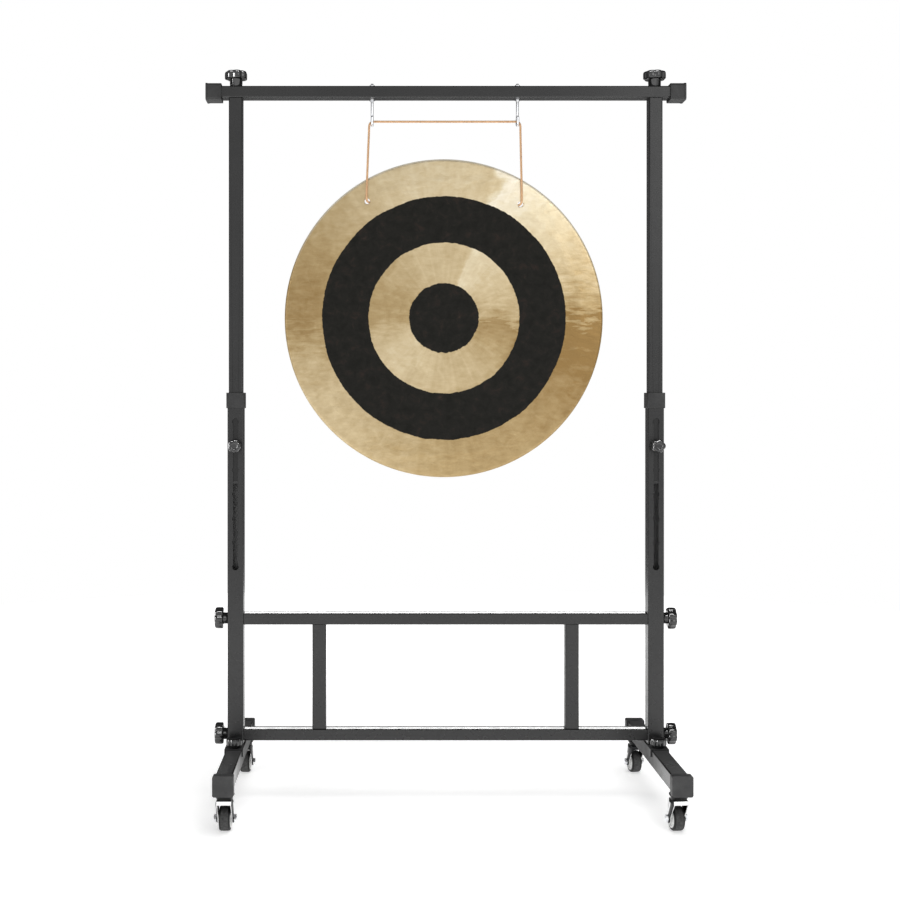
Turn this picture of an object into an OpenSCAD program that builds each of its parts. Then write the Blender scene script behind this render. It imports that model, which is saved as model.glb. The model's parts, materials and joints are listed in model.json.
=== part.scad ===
// Tam tam gong hanging in a wheeled stand whose height is set by two telescopic posts.
// X points right, Y points to the back and Z points up.
// The origin is on the floor under the middle of the footprint; the posts stand a little behind it.

/* [Stand] */
// Distance from the middle to the centre of each post
post_x = 460; // [420:1:520]
// Distance of the posts behind the middle of the footprint
post_y = 13; // [0:1:30]
// Top of the slotted lower posts above the floor
lower_post_top = 890; // [850:5:950]
// Underside of the crossbeam above the floor, which is the top of the upper posts
beam_bottom = 1539; // [1450:1:1600]
// Bottom of the sliding upper posts
upper_post_bottom = 700; // [690:5:712]
// Half of the crossbeam's length, end caps included
beam_half = 525; // [515:1:600]

/* [Tubes] */
// Outside width of the square tube of the lower posts and feet
big_tube = 35; // [35:1:38]
// Outside width of the square tube of the upper posts
small_tube = 30; // [28:1:30]
// Wall thickness of every tube
wall = 1.5; // [1.2:0.1:2]
// Depth of the crossbeam, front to back
beam_depth = 38; // [35:1:42]
// Height of the crossbeam and the two rails
beam_height = 25; // [22:1:30]

/* [Rails] */
// Centre height of the lower rail
lower_rail_z = 144; // [140:0.5:150]
// Centre height of the upper rail
upper_rail_z = 397.5; // [300:0.5:400]
// Distance from the middle to the centre of each upright strut
strut_x = 277; // [150:1:380]

/* [Height slots] */
// Notch positions along each slot
notch_count = 7; // [3:1:7]
// Distance between two notches
notch_pitch = 53; // [45:1:55]
// Centre height of the top notch
top_notch_z = 830; // [820:1:840]

/* [Gong] */
// Radius of the gong
gong_r = 350; // [330:1:355]
// Thickness of the bronze
gong_t = 2; // [1.5:0.1:3]
// Depth of the turned-back rim
rim_depth = 38; // [25:1:45]

/* [Casters] */
// Wheel diameter
wheel_d = 50; // [45:1:52]
// Tread width
wheel_w = 23; // [18:1:24]
// How far the wheel's contact trails behind the swivel axis
trail = 18; // [12:1:20]

/* [Hidden] */
$fn = 48;

// Colours of the finishes
powder = [0.25, 0.25, 0.25];
cap_black = [0.22, 0.22, 0.22];
knob_black = [0.08, 0.08, 0.08];
chrome = [0.85, 0.86, 0.88];
zinc = [0.75, 0.76, 0.78];
hub_grey = [0.8, 0.8, 0.8];
tyre_black = [0.12, 0.12, 0.12];
bronze = [0.79, 0.68, 0.46];
cord_tan = [0.8, 0.6, 0.42];

// Tubes and the foot
post_half = big_tube / 2;
saddle_plate = 2.5;
foot_bottom = 85;
foot_top = foot_bottom + big_tube;
foot_mid_z = foot_bottom + post_half;
foot_ends = [-259, 249];
foot_cap_wall = 3.8;
foot_cap_length = 20;
foot_cap_end = 2;
saddle_half_length = 56;
saddle_drop = 14;
foot_knob_y = -41;
lower_post_bottom = foot_top + saddle_plate;
bush_flange_t = 6;
bush_spigot = 15;
plug_length = 24;
collar_outer = 40;
collar_drop = 31;
collar_lip = 3;
slide_gap = 0.3;
slot_width = 10;
notch_d = 14;

// Rails and beam
rail_depth = 30;
rail_half = post_x - post_half;
insert_length = 25;
beam_top = beam_bottom + beam_height;
cap_end = 4;
cap_length = 34;
cap_wall_y = 4;
cap_wall_z = 5.5;
cap_flare = 1.2;

// Fastenings: M8 studs on every knob, M10 caster stems, M6 hook bolts
stud_d = 8;
stud_hole = 8.8;
thread_d = 8.16;
nut_t = 6.5;
nut_af = 13;
stem_d = 10;
stem_top = 108;
kingpin_d = 8;
hook_d = 6;
hook_hole = 6.4;
hook_x = [-161, 158.5];
hook_nut_t = 5;
hook_nut_af = 10;
slot_knob_z = top_notch_z - notch_pitch;

// Casters: swivel axes, and the heading in which each wheel trails
caster_inset = 32;
housing_d = 38;
housing_bottom = 68.3;
housing_top = 80.8;
housing_boss_d = 27;
kingpin_head_d = 13;
kingpin_head_t = 3;
fork_plate_top = 68;
fork_plate_t = 2.5;
kingpin_head_z = fork_plate_top - fork_plate_t - kingpin_head_t - 0.3;
fork_inner = 12.9;
fork_arm_t = 2.7;
fork_rib_t = 2.6;
fork_rib_inset = 3.5;
fork_wall_drop = 9;
fork_front = -14;
fork_rear = 18;
fork_eye_r = 10;
axle_half = 23.5;
axle_nut_t = 4.5;
heading_front_left = 90;
heading_front_right = 96;
heading_rear_left = 88;
heading_rear_right = 98;
axle_z = wheel_d / 2;
axle_d = 8;
hub_r = 19;
hub_w = 24.4;

// Gong: centre, and the two hanging holes measured from it, drilled by hand a little unevenly
gong_x = -3.5;
gong_z = 1057;
gong_front_y = -5.4;
hole_d = 12;
gong_holes = [[-168, 256.3], [167.8, 250]];

// Hook bowl: its centre height and the radius of the wire's centre line
bowl_z = 1490;
bowl_r = 9;
hook_turn = 60;
hook_tip = 7;
hook_thread_shown = 3;

// Route of the hanging cord: from the knot behind the gong, out through the right-hand hole,
// up to the right-hand hook, across, and back down through the left-hand hole to the knot.
cord_d = 5;
cord_sides = 10;
cord_route = [
    [8.5, 4, 1308], [30, 3, 1307.6], [60, 2, 1307], [100, 1.6, 1306], [140, 1.6, 1305],
    [151.5, 1.6, 1304.7], [160, 0.6, 1305], [164.7, -3.3, 1307.1], [166.9, -6.5, 1312.1],
    [167.5, -7.4, 1318.7], [167.2, -6.2, 1345], [166, -3.1, 1410], [165.1, -0.6, 1466],
    [165, 0, 1479], [163.7, 0, 1484], [160, 0, 1487.7], [155, 0, 1489], [138, 0, 1489],
    [0, 0, 1489],
    [-141, 0, 1489], [-157.5, 0, 1489], [-162.5, 0, 1487.7], [-166.2, 0, 1484], [-167.5, 0, 1479],
    [-168, -0.6, 1466], [-170.2, -3.1, 1413], [-172.5, -6.2, 1351], [-173.4, -7.4, 1325],
    [-173.2, -6.5, 1318.6], [-171.6, -3.3, 1313.6], [-167, 0.6, 1311.5], [-158.5, 1.6, 1311.2],
    [-147, 1.6, 1311], [-107, 1.6, 1310.2], [-67, 2, 1309.2], [-37, 3, 1308.4], [-15.5, 4, 1308]
];

// A rectangle with round corners, centred, drawn flat.
module round_rect(w, h, r) {
    square([w - 2 * r, h], center = true);
    square([w, h - 2 * r], center = true);
    for (sx = [-1, 1], sy = [-1, 1])
        translate([sx * (w / 2 - r), sy * (h / 2 - r)])
            circle(r);
}

// The wall of a rectangular tube, centred, drawn flat.
module tube_section(w, h) {
    difference() {
        round_rect(w, h, 2.5);
        round_rect(w - 2 * wall, h - 2 * wall, 1);
    }
}

// An upright tube from z0 to z1.
module upright_tube(w, h, z0, z1) {
    translate([0, 0, z0])
        linear_extrude(z1 - z0)
            tube_section(w, h);
}

// A tube lying along X, centred on the origin.
module cross_tube(depth, height, half_length) {
    rotate([90, 0, 90])
        translate([0, 0, -half_length])
            linear_extrude(2 * half_length)
                tube_section(depth, height);
}

// A hexagonal nut standing on z = 0.
module hex_nut(af, t, bore) {
    difference() {
        cylinder(d = af / cos(30), h = t, $fn = 6);
        translate([0, 0, -1])
            cylinder(d = bore, h = t + 2);
    }
}

// A hand knob on the z = 0 face that it clamps, its stud pointing down.
module star_knob(head_d, head_t, neck_d, neck_h, stud_l, lobes) {
    lobe_r = head_d * 0.13;
    color(knob_black) {
        translate([0, 0, neck_h])
            linear_extrude(head_t) {
                circle(head_d / 2 - lobe_r * 0.75);
                for (i = [0 : lobes - 1])
                    rotate(i * 360 / lobes)
                        translate([head_d / 2 - lobe_r, 0])
                            circle(lobe_r);
            }
        cylinder(d = neck_d, h = neck_h);
    }
    color(zinc)
        translate([0, 0, -stud_l])
            cylinder(d = stud_d, h = stud_l + 1);
}

// Moves a piece to the plane of the posts.
module at_posts() {
    translate([0, post_y, 0])
        children();
}

// Where the feet end, and where the casters swivel, at the front (end = -1) and at the rear (1).
function foot_end_y(end) = end < 0 ? foot_ends[0] : foot_ends[1];
function caster_y(end) = foot_end_y(end) - end * caster_inset;

module foot_tube(side) {
    color(powder)
        difference() {
            translate([side * post_x, 0, foot_mid_z])
                rotate([90, 0, 0])
                    translate([0, 0, -foot_ends[1]])
                        linear_extrude(foot_ends[1] - foot_ends[0])
                            tube_section(big_tube, big_tube);
            for (end = [-1, 1])
                translate([side * post_x, caster_y(end), foot_bottom - 1])
                    cylinder(d = stem_d + 0.4, h = wall + 2);
            translate([side * post_x, post_y + foot_knob_y, foot_top - wall - 1])
                cylinder(d = stud_hole, h = wall + 2);
        }
}

module foot_end_caps() {
    cap = big_tube + 2 * foot_cap_wall;
    color(cap_black)
        for (side = [-1, 1], end = [-1, 1])
            translate([side * post_x, foot_end_y(end) + end * foot_cap_end, foot_mid_z])
                rotate([end * 90, 0, 0])
                    difference() {
                        linear_extrude(foot_cap_length)
                            round_rect(cap, cap, 4);
                        translate([0, 0, foot_cap_end])
                            linear_extrude(foot_cap_length)
                                round_rect(big_tube, big_tube, 2.5);
                    }
}

module foot_saddle(side) {
    width = big_tube + 2 * saddle_plate + 0.5;
    color(powder)
        translate([side * post_x, 0, 0])
            difference() {
                translate([-width / 2, -saddle_half_length, foot_top - saddle_drop])
                    cube([width, 2 * saddle_half_length, saddle_drop + saddle_plate]);
                translate([-big_tube / 2 - 0.25, -saddle_half_length - 1, foot_top - saddle_drop - 1])
                    cube([big_tube + 0.5, 2 * saddle_half_length + 2, saddle_drop + 1]);
                translate([0, foot_knob_y, foot_top - 1])
                    cylinder(d = stud_hole, h = saddle_plate + 2);
            }
}

module foot_weld_nuts() {
    color(zinc)
        for (side = [-1, 1])
            translate([side * post_x, foot_knob_y, foot_top - wall - nut_t])
                hex_nut(nut_af, nut_t, thread_d);
}

module height_slot() {
    bottom_notch_z = top_notch_z - (notch_count - 1) * notch_pitch;
    translate([-slot_width / 2, -post_half - 1, bottom_notch_z])
        cube([slot_width, wall + 2, top_notch_z - bottom_notch_z]);
    for (i = [0 : notch_count - 1])
        translate([0, -post_half - 1, top_notch_z - i * notch_pitch])
            rotate([-90, 0, 0])
                cylinder(d = notch_d, h = wall + 2);
}

module lower_post(side) {
    color(powder)
        translate([side * post_x, 0, 0])
            difference() {
                upright_tube(big_tube, big_tube, lower_post_bottom, lower_post_top);
                height_slot();
                for (z = [lower_rail_z, upper_rail_z])
                    translate([-post_half - 1, 0, z])
                        rotate([0, 90, 0])
                            cylinder(d = stud_hole, h = big_tube + 2);
            }
}

module post_collar(side) {
    opening = small_tube + 2 * slide_gap;
    color(cap_black)
        translate([side * post_x, 0, lower_post_top - collar_drop])
            difference() {
                linear_extrude(collar_drop + collar_lip)
                    round_rect(collar_outer, collar_outer, 4);
                translate([0, 0, -1])
                    linear_extrude(collar_drop + 1)
                        round_rect(big_tube, big_tube, 2.5);
                linear_extrude(collar_drop + collar_lip + 1)
                    round_rect(opening, opening, 2.5);
            }
}

module rail(z) {
    color(powder)
        translate([0, 0, z])
            cross_tube(rail_depth, beam_height, rail_half);
}

module rail_strut(side) {
    color(powder)
        translate([side * strut_x, 0, 0])
            upright_tube(30, 25, lower_rail_z + beam_height / 2, upper_rail_z - beam_height / 2);
}

module rail_end_inserts() {
    color(cap_black)
        for (z = [lower_rail_z, upper_rail_z], side = [-1, 1])
            translate([side * (rail_half - insert_length / 2), 0, z])
                rotate([90, 0, 90])
                    translate([0, 0, -insert_length / 2])
                        difference() {
                            linear_extrude(insert_length)
                                round_rect(rail_depth - 2 * wall, beam_height - 2 * wall, 1);
                            translate([0, 0, -1])
                                cylinder(d = thread_d, h = insert_length + 2);
                        }
}

module caster_stems() {
    color(zinc)
        for (side = [-1, 1], end = [-1, 1])
            translate([side * post_x, caster_y(end), 0]) {
                translate([0, 0, housing_bottom])
                    cylinder(d = housing_d, h = housing_top - housing_bottom);
                translate([0, 0, housing_top - 1])
                    cylinder(d = housing_boss_d, h = foot_bottom - housing_top + 1);
                translate([0, 0, foot_bottom - 1])
                    cylinder(d = stem_d, h = stem_top - foot_bottom + 1);
                translate([0, 0, kingpin_head_z])
                    cylinder(d = kingpin_d, h = housing_bottom - kingpin_head_z + 1);
                translate([0, 0, kingpin_head_z])
                    cylinder(d = kingpin_head_d, h = kingpin_head_t);
            }
}

module caster_stem_nuts() {
    color(zinc)
        for (side = [-1, 1], end = [-1, 1])
            translate([side * post_x, caster_y(end), foot_bottom + wall])
                hex_nut(17, 8, stem_d + 0.2);
}

module upper_post(side) {
    color(powder)
        translate([side * post_x, 0, 0])
            difference() {
                upright_tube(small_tube, small_tube, upper_post_bottom, beam_bottom);
                translate([0, 0, slot_knob_z])
                    rotate([90, 0, 0])
                        cylinder(d = stud_hole, h = small_tube);
            }
}

module post_guide_bushes() {
    inner = small_tube - 2 * wall;
    bush = big_tube - 2 * wall - 2 * slide_gap;
    color(cap_black)
        for (side = [-1, 1])
            translate([side * post_x, 0, upper_post_bottom]) {
                translate([0, 0, -bush_flange_t])
                    linear_extrude(bush_flange_t)
                        round_rect(bush, bush, 2);
                linear_extrude(bush_spigot)
                    round_rect(inner, inner, 1);
            }
}

module post_top_plugs() {
    inner = small_tube - 2 * wall;
    color(cap_black)
        for (side = [-1, 1])
            translate([side * post_x, 0, beam_bottom - plug_length])
                difference() {
                    linear_extrude(plug_length)
                        round_rect(inner, inner, 1);
                    translate([0, 0, -1])
                        cylinder(d = thread_d, h = plug_length + 2);
                }
}

module slot_clamp_nuts() {
    color(zinc)
        for (side = [-1, 1])
            translate([side * post_x, -small_tube / 2 + wall, slot_knob_z])
                rotate([-90, 0, 0])
                    hex_nut(nut_af, nut_t, thread_d);
}

module crossbeam() {
    color(powder)
        difference() {
            translate([0, 0, beam_bottom + beam_height / 2])
                cross_tube(beam_depth, beam_height, beam_half - cap_end);
            for (side = [-1, 1])
                translate([side * post_x, 0, beam_bottom - 1])
                    cylinder(d = stud_hole, h = beam_height + 2);
            for (x = hook_x)
                translate([x, 0, beam_bottom - 1])
                    cylinder(d = hook_hole, h = beam_height + 2);
        }
}

module beam_cap(side) {
    cap_depth = beam_depth + 2 * cap_wall_y;
    cap_height = beam_height + 2 * cap_wall_z;
    color(cap_black)
        translate([side * beam_half, 0, beam_bottom + beam_height / 2])
            rotate([90, 0, -side * 90])
                difference() {
                    union() {
                        linear_extrude(cap_length)
                            round_rect(cap_depth, cap_height, 5);
                        linear_extrude(cap_end)
                            round_rect(cap_depth + cap_flare, cap_height + cap_flare, 5);
                    }
                    translate([0, 0, cap_end])
                        linear_extrude(cap_length)
                            round_rect(beam_depth, beam_height, 2.5);
                }
}

// The bent wire of a hook lies in the YZ plane: tip in front, bowl under the shank.
module hook_bolt(x) {
    swing_y = 2 * bowl_r * cos(hook_turn);
    swing_z = 2 * bowl_r * sin(hook_turn);
    shank_top = beam_top + hook_nut_t + hook_thread_shown;
    color(zinc)
        translate([x, 0, bowl_z])
            rotate([90, 0, 90]) {
                rotate(180)
                    rotate_extrude(angle = 180 + hook_turn)
                        translate([bowl_r, 0])
                            circle(d = hook_d);
                translate([swing_y, swing_z, 0])
                    rotate(180)
                        rotate_extrude(angle = hook_turn)
                            translate([bowl_r, 0])
                                circle(d = hook_d);
                translate([-bowl_r, 0, 0])
                    rotate([-90, 0, 0])
                        cylinder(d = hook_d, h = hook_tip);
                translate([-bowl_r, hook_tip, 0])
                    sphere(d = hook_d);
                translate([0, swing_z, 0])
                    rotate([-90, 0, 0])
                        cylinder(d = hook_d, h = shank_top - bowl_z - swing_z);
            }
}

module hook_nuts() {
    color(zinc)
        for (x = hook_x, z = [beam_bottom - hook_nut_t, beam_top])
            translate([x, 0, z])
                hex_nut(hook_nut_af, hook_nut_t, hook_d + 0.2);
}

module top_knob(side) {
    translate([side * post_x, 0, beam_top])
        star_knob(50, 18, 28, 17, 44, 7);
}

module slot_knob(side) {
    translate([side * post_x, -post_half, slot_knob_z])
        rotate([90, 0, 0])
            star_knob(30, 18.5, 18, 15, 12, 5);
}

module side_knob(side, z) {
    translate([side * (post_x + post_half), 0, z])
        rotate([0, side * 90, 0])
            star_knob(48, 18.5, 25, 10, 55, 7);
}

module foot_knob(side) {
    translate([side * post_x, foot_knob_y, lower_post_bottom])
        star_knob(35, 17, 24, 5, 20, 9);
}

// Puts a caster's own frame, in which the wheel trails along +X, under its foot.
module caster_place(side, end, heading) {
    translate([side * post_x, caster_y(end), 0])
        rotate(heading)
            children();
}

// The outline of one arm: wide under the plate, narrowing to a round eye on the axle.
module fork_arm_outline(inset) {
    top_z = fork_plate_top - 1 - inset;
    shoulder_z = fork_plate_top - fork_plate_t - 7;
    eye_r = fork_eye_r - inset;
    polygon([
        [fork_front + inset, top_z],
        [fork_front + inset, shoulder_z],
        [trail - eye_r + 0.4, axle_z + 3],
        [trail + eye_r - 0.4, axle_z + 3],
        [fork_rear + 2 - inset, shoulder_z],
        [fork_rear - inset, top_z]
    ]);
    translate([trail, axle_z])
        circle(eye_r);
}

// One layer of the arm on side s, of thickness t, starting at distance y0 from the wheel's middle.
module fork_arm_layer(s, y0, t, inset) {
    translate([0, s * (y0 + t / 2) + t / 2, 0])
        rotate([90, 0, 0])
            linear_extrude(t)
                fork_arm_outline(inset);
}

// A pressed fork: plate, front wall and two arms, each with a raised rib on its outside.
module caster_fork(side, end, heading) {
    plate_z = fork_plate_top - fork_plate_t;
    outer = fork_inner + fork_arm_t;
    color(chrome)
        caster_place(side, end, heading)
            difference() {
                union() {
                    translate([fork_front, -outer, plate_z])
                        cube([fork_rear - fork_front, 2 * outer, fork_plate_t]);
                    translate([fork_front, -outer, fork_plate_top - fork_wall_drop])
                        cube([fork_plate_t, 2 * outer, fork_wall_drop]);
                    for (s = [-1, 1]) {
                        fork_arm_layer(s, fork_inner, fork_arm_t, 0);
                        fork_arm_layer(s, outer - 0.1, fork_rib_t + 0.1, fork_rib_inset);
                    }
                }
                translate([0, 0, plate_z - 1])
                    cylinder(d = kingpin_d + 0.16, h = fork_plate_t + 2);
                translate([trail, 0, axle_z])
                    rotate([90, 0, 0])
                        cylinder(d = axle_d + 0.02, h = 60, center = true);
            }
}

module caster_axle(side, end, heading) {
    nut_y = fork_inner + fork_arm_t + fork_rib_t;
    color(zinc)
        caster_place(side, end, heading)
            translate([trail, 0, axle_z])
                rotate([90, 0, 0]) {
                    cylinder(d = axle_d, h = 2 * axle_half, center = true);
                    for (s = [-1, 1])
                        translate([0, 0, s * (nut_y + axle_nut_t / 2) - axle_nut_t / 2])
                            cylinder(d = 13 / cos(30), h = axle_nut_t, $fn = 6);
                }
}

module caster_hub(side, end, heading) {
    boss_w = 2 * fork_inner - 0.6;
    color(hub_grey)
        caster_place(side, end, heading)
            translate([trail, 0, axle_z])
                rotate([90, 0, 0])
                    difference() {
                        union() {
                            cylinder(r = hub_r, h = hub_w, center = true);
                            cylinder(r = 7, h = boss_w, center = true);
                        }
                        cylinder(d = axle_d + 0.12, h = 60, center = true);
                    }
}

module caster_tyre(side, end, heading) {
    shoulder = 4;
    r = wheel_d / 2;
    color(tyre_black)
        caster_place(side, end, heading)
            translate([trail, 0, axle_z])
                rotate([90, 0, 0])
                    rotate_extrude($fn = 96)
                        difference() {
                            union() {
                                translate([hub_r, -wheel_w / 2])
                                    square([r - hub_r - shoulder, wheel_w]);
                                translate([hub_r, shoulder - wheel_w / 2])
                                    square([r - hub_r, wheel_w - 2 * shoulder]);
                                for (s = [-1, 1])
                                    translate([r - shoulder, s * (wheel_w / 2 - shoulder)])
                                        circle(shoulder);
                            }
                            translate([0, -wheel_w])
                                square([hub_r, 2 * wheel_w]);
                        }
}

// The gong is a shallow dish: a nearly flat face, a tight round corner and a rim turned back.
// A point's first number is the distance from the middle, its second the distance behind the front.
function gong_profile(inset) = [
    [0, inset],
    [150, inset],
    [300, 1 + inset],
    [344, 3 + inset],
    for (a = [67.5 : -22.5 : 0])
        [344 + (6 - inset) * cos(a), 9 - (6 - inset) * sin(a)],
    [346 - inset, rim_depth]
];

module gong_disc() {
    scale_r = gong_r / 350;
    front = [for (p = gong_profile(0)) [p[0] * scale_r, p[1]]];
    back = [for (p = gong_profile(gong_t)) [p[0] * scale_r, p[1]]];
    color(bronze)
        difference() {
            translate([gong_x, gong_front_y, gong_z])
                rotate([-90, 0, 0])
                    rotate_extrude($fn = 180)
                        polygon(concat(front, [for (i = [len(back) - 1 : -1 : 0]) back[i]]));
            for (hole = gong_holes)
                translate([gong_x + hole[0], gong_front_y - 5, gong_z + hole[1]])
                    rotate([-90, 0, 0])
                        cylinder(d = hole_d, h = 20);
        }
}

// Sweep of a round cord: one ring of points square to the route at each of its points.
function unit(v) = v / norm(v);
function heading_at(route, i) =
    unit(route[min(i + 1, len(route) - 1)] - route[max(i - 1, 0)]);
function ring_point(centre, along, angle) =
    let (u = unit(cross(along, [0, 1, 0])), v = cross(along, u))
    centre + cord_d / 2 * (cos(angle) * u + sin(angle) * v);

module swept_cord(route) {
    rings = len(route);
    points = [
        for (i = [0 : rings - 1], k = [0 : cord_sides - 1])
            ring_point(route[i], heading_at(route, i), k * 360 / cord_sides)
    ];
    sides = [
        for (i = [0 : rings - 2], k = [0 : cord_sides - 1])
            let (next = (k + 1) % cord_sides)
            [i * cord_sides + k, i * cord_sides + next,
             (i + 1) * cord_sides + next, (i + 1) * cord_sides + k]
    ];
    start = [for (k = [cord_sides - 1 : -1 : 0]) k];
    end = [for (k = [0 : cord_sides - 1]) (rings - 1) * cord_sides + k];
    polyhedron(points, concat([start], sides, [end]), convexity = 6);
}

module hanging_cord() {
    color(cord_tan)
        swept_cord(cord_route);
}

// The two ends of the cord are tied together in a barrel-shaped knot behind the gong.
module cord_knot() {
    first = cord_route[0];
    last = cord_route[len(cord_route) - 1];
    length = first[0] - last[0];
    color(cord_tan)
        translate(last)
            rotate([0, 90, 0])
                rotate_extrude()
                    polygon([
                        [0, 0], [3.5, 0], [5.6, 2.5], [6.5, 6], [6.5, length - 6],
                        [5.6, length - 2.5], [3.5, length], [0, length]
                    ]);
}

foot_tube(-1);  // foot_tube_left
foot_tube(1);  // foot_tube_right
foot_end_caps();
at_posts() foot_saddle(-1);  // foot_saddle_left
at_posts() foot_saddle(1);  // foot_saddle_right
at_posts() foot_weld_nuts();
at_posts() lower_post(-1);  // lower_post_left
at_posts() lower_post(1);  // lower_post_right
at_posts() post_collar(-1);  // post_collar_left
at_posts() post_collar(1);  // post_collar_right
at_posts() rail(upper_rail_z);  // upper_rail
at_posts() rail(lower_rail_z);  // lower_rail
at_posts() rail_strut(-1);  // rail_strut_left
at_posts() rail_strut(1);  // rail_strut_right
at_posts() rail_end_inserts();
caster_stems();
caster_stem_nuts();
at_posts() upper_post(-1);  // upper_post_left
at_posts() upper_post(1);  // upper_post_right
at_posts() post_guide_bushes();
at_posts() post_top_plugs();
at_posts() slot_clamp_nuts();
at_posts() crossbeam();
at_posts() beam_cap(-1);  // beam_cap_left
at_posts() beam_cap(1);  // beam_cap_right
at_posts() hook_bolt(hook_x[0]);  // hook_bolt_left
at_posts() hook_bolt(hook_x[1]);  // hook_bolt_right
at_posts() hook_nuts();
at_posts() top_knob(-1);  // top_knob_left
at_posts() top_knob(1);  // top_knob_right
at_posts() slot_knob(-1);  // slot_knob_left
at_posts() slot_knob(1);  // slot_knob_right
at_posts() side_knob(-1, upper_rail_z);  // side_knob_upper_left
at_posts() side_knob(1, upper_rail_z);  // side_knob_upper_right
at_posts() side_knob(-1, lower_rail_z);  // side_knob_lower_left
at_posts() side_knob(1, lower_rail_z);  // side_knob_lower_right
at_posts() foot_knob(-1);  // foot_knob_left
at_posts() foot_knob(1);  // foot_knob_right
caster_fork(-1, -1, heading_front_left);  // caster_fork_front_left
caster_fork(1, -1, heading_front_right);  // caster_fork_front_right
caster_fork(-1, 1, heading_rear_left);  // caster_fork_rear_left
caster_fork(1, 1, heading_rear_right);  // caster_fork_rear_right
caster_axle(-1, -1, heading_front_left);  // caster_axle_front_left
caster_axle(1, -1, heading_front_right);  // caster_axle_front_right
caster_axle(-1, 1, heading_rear_left);  // caster_axle_rear_left
caster_axle(1, 1, heading_rear_right);  // caster_axle_rear_right
caster_hub(-1, -1, heading_front_left);  // caster_hub_front_left
caster_hub(1, -1, heading_front_right);  // caster_hub_front_right
caster_hub(-1, 1, heading_rear_left);  // caster_hub_rear_left
caster_hub(1, 1, heading_rear_right);  // caster_hub_rear_right
caster_tyre(-1, -1, heading_front_left);  // caster_tyre_front_left
caster_tyre(1, -1, heading_front_right);  // caster_tyre_front_right
caster_tyre(-1, 1, heading_rear_left);  // caster_tyre_rear_left
caster_tyre(1, 1, heading_rear_right);  // caster_tyre_rear_right
at_posts() gong_disc();
at_posts() hanging_cord();
at_posts() cord_knot();
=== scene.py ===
"""Tam tam gong in its wheeled stand: the looks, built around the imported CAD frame.

Everything is in metres in the frame's own axes: +X right, +Y to the back, +Z up, origin on the floor.
"""

import json
import math

import bmesh
import bpy
from mathutils import Matrix, Vector, noise

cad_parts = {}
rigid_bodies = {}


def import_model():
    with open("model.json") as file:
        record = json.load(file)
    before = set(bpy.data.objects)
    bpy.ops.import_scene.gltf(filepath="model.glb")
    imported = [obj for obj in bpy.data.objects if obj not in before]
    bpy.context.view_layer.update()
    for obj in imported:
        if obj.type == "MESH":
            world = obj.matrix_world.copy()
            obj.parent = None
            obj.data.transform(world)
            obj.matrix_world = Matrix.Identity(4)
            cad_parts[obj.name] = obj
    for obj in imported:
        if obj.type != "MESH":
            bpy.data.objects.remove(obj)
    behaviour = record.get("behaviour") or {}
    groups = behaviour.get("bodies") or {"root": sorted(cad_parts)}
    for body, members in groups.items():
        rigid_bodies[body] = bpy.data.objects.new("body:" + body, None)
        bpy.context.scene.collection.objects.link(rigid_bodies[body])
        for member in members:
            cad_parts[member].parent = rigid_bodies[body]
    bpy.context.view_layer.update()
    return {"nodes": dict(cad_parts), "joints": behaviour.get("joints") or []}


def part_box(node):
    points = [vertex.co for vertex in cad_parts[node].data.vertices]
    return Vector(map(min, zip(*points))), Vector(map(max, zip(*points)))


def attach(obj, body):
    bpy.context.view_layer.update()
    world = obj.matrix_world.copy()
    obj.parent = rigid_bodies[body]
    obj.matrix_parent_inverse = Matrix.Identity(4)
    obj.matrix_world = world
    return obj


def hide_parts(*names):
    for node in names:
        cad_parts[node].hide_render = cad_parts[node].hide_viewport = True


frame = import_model()
JOINTS = {joint["name"]: joint for joint in frame["joints"]}
POST_X = (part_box("lower_post_right")[0].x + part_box("lower_post_right")[1].x) / 2
POST_Y = JOINTS["gong_swing"]["pos_m"][1]

# ---------------------------------------------------------------- camera

CAMERA_PLACE = (-0.162, POST_Y - 3.0, 0.866)
CAMERA_LENS = 54.56
CAMERA_SHIFT = (0.087, -0.05)


def make_camera():
    """A camera that looks straight along +Y, shifted so that upright edges stay parallel."""
    data = bpy.data.cameras.new("camera")
    data.sensor_width = 36
    data.lens = CAMERA_LENS
    data.shift_x, data.shift_y = CAMERA_SHIFT
    data.clip_start, data.clip_end = 0.05, 100
    camera = bpy.data.objects.new("camera", data)
    camera.location = CAMERA_PLACE
    camera.rotation_euler = (math.radians(90), 0, 0)
    bpy.context.scene.collection.objects.link(camera)
    bpy.context.scene.camera = camera


# ---------------------------------------------------------------- materials


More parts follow.
